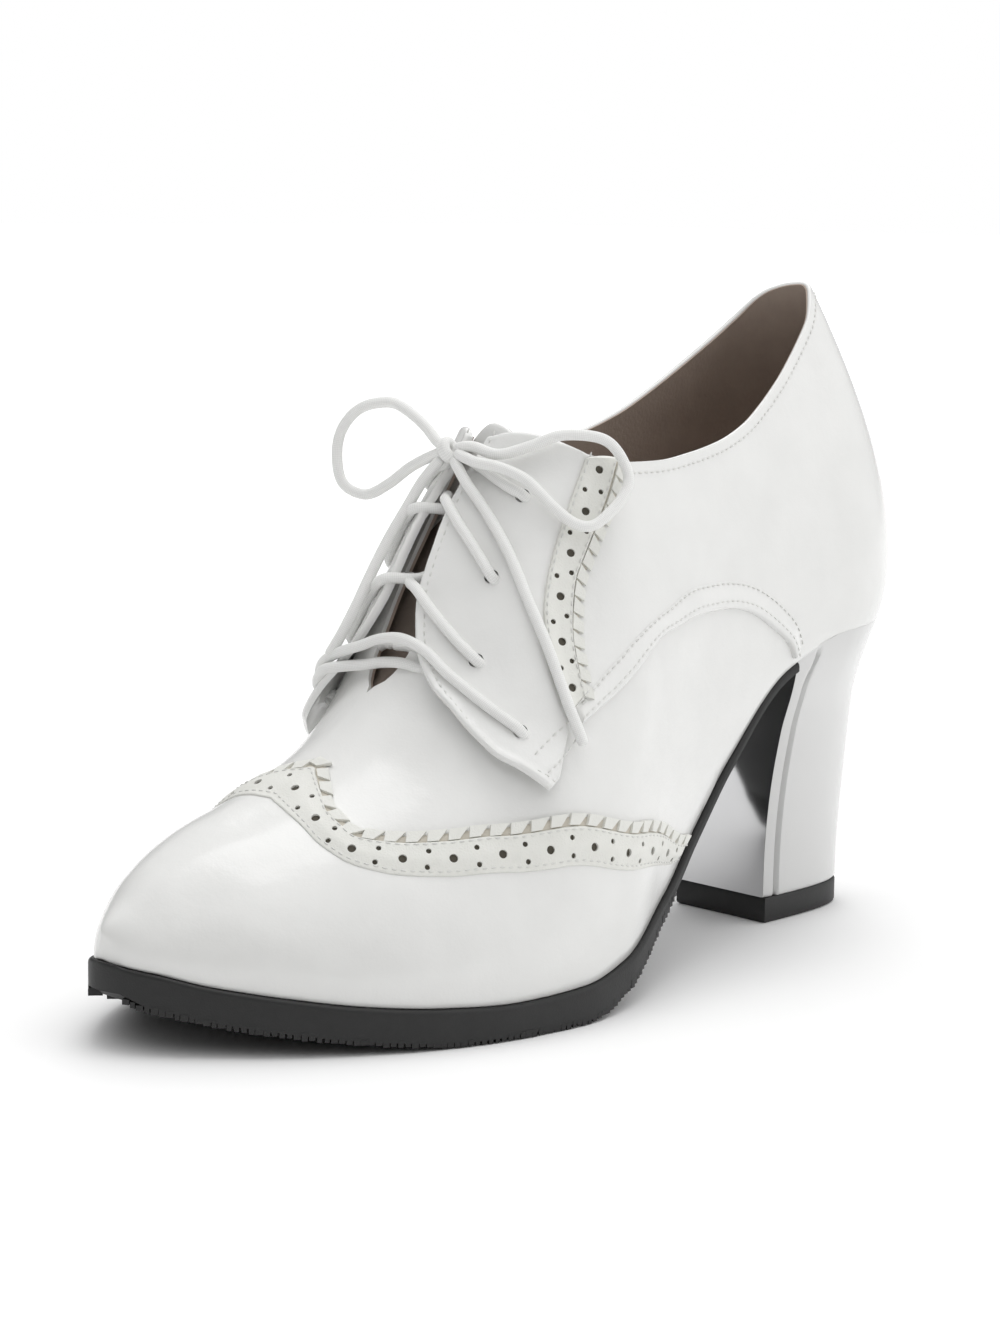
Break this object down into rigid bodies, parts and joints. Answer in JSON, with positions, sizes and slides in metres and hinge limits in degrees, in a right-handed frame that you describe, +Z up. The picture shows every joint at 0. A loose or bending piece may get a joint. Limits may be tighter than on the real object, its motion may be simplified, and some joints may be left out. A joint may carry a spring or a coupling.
{
  "type": "heeled lace-up shoe",
  "caption": "Left ladies' lace-up shoe on a high block heel, with open facings, a curved perforated band round the toe, a tied round lace and a thin dark sole.",
  "frame": {"origin": "middle of the heel's rest face, on the floor", "axes": "-Y towards the toe, +X towards the outer side of the left foot, +Z up; the shoe stands on the plane z = 0"},
  "size_m": [0.086, 0.2269, 0.151],
  "materials": {
    "patent_leather": "glossy coated",
    "strip_leather": "smooth, semi-matt",
    "lining": "matt",
    "rubber": "matt",
    "heel_lacquer": "glossy",
    "lace": "waxed cotton"
  },
  "bodies": {
    "root": {"upper": "patent_leather", "facing_lateral": "patent_leather", "facing_medial": "patent_leather", "counter_strip_lateral": "patent_leather", "counter_strip_medial": "patent_leather", "tongue": "patent_leather", "brogue_strip_lateral": "strip_leather", "brogue_strip_medial": "strip_leather", "wing_band": "strip_leather", "insole": "lining", "outsole": "rubber", "heel_lift": "rubber", "heel": "heel_lacquer", "lace_lower_bar": "lace", "lace_crossing_1": "lace", "lace_crossing_2": "lace", "lace_crossing_3": "lace", "lace_crossing_4": "lace", "lace_knot": "lace", "lace_loop_lateral": "lace", "lace_loop_medial": "lace", "lace_end_lateral": "lace", "lace_end_medial": "lace"}
  },
  "joints": []
}
